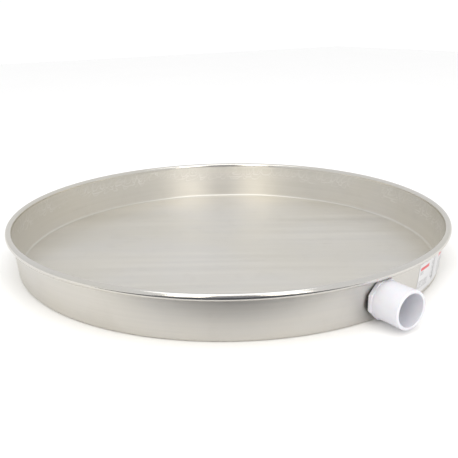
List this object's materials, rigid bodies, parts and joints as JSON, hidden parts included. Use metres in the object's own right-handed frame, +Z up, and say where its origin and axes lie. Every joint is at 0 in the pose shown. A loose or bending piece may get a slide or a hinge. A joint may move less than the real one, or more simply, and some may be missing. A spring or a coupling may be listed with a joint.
{
  "type": "water heater drain pan",
  "caption": "Shallow round spun aluminium catch pan with a rolled rim and a white plastic pipe outlet clamped through its wall, which catches drips or leaks and drains them away",
  "frame": {"origin": "centre of the pan's flat underside, where it rests on the floor", "axes": "+Z up out of the open pan, +X outwards along the drain outlet, +Y to the left when looking out along the outlet"},
  "size_m": [0.6955, 0.6604, 0.0645],
  "materials": {
    "pan_sheet": "spun, fine circular grain, satin to bright",
    "white_pvc": "moulded, semi-gloss white",
    "nut_pvc": "moulded, semi-gloss white",
    "black_rubber": "matt moulded rubber",
    "washer_rubber": "matt moulded rubber",
    "label_film": null
  },
  "bodies": {
    "root": {"pan": "pan_sheet", "drain_adapter": "white_pvc", "locknut": "nut_pvc", "outer_gasket": "black_rubber", "inner_washer": "washer_rubber", "product_label": "label_film"}
  },
  "joints": []
}
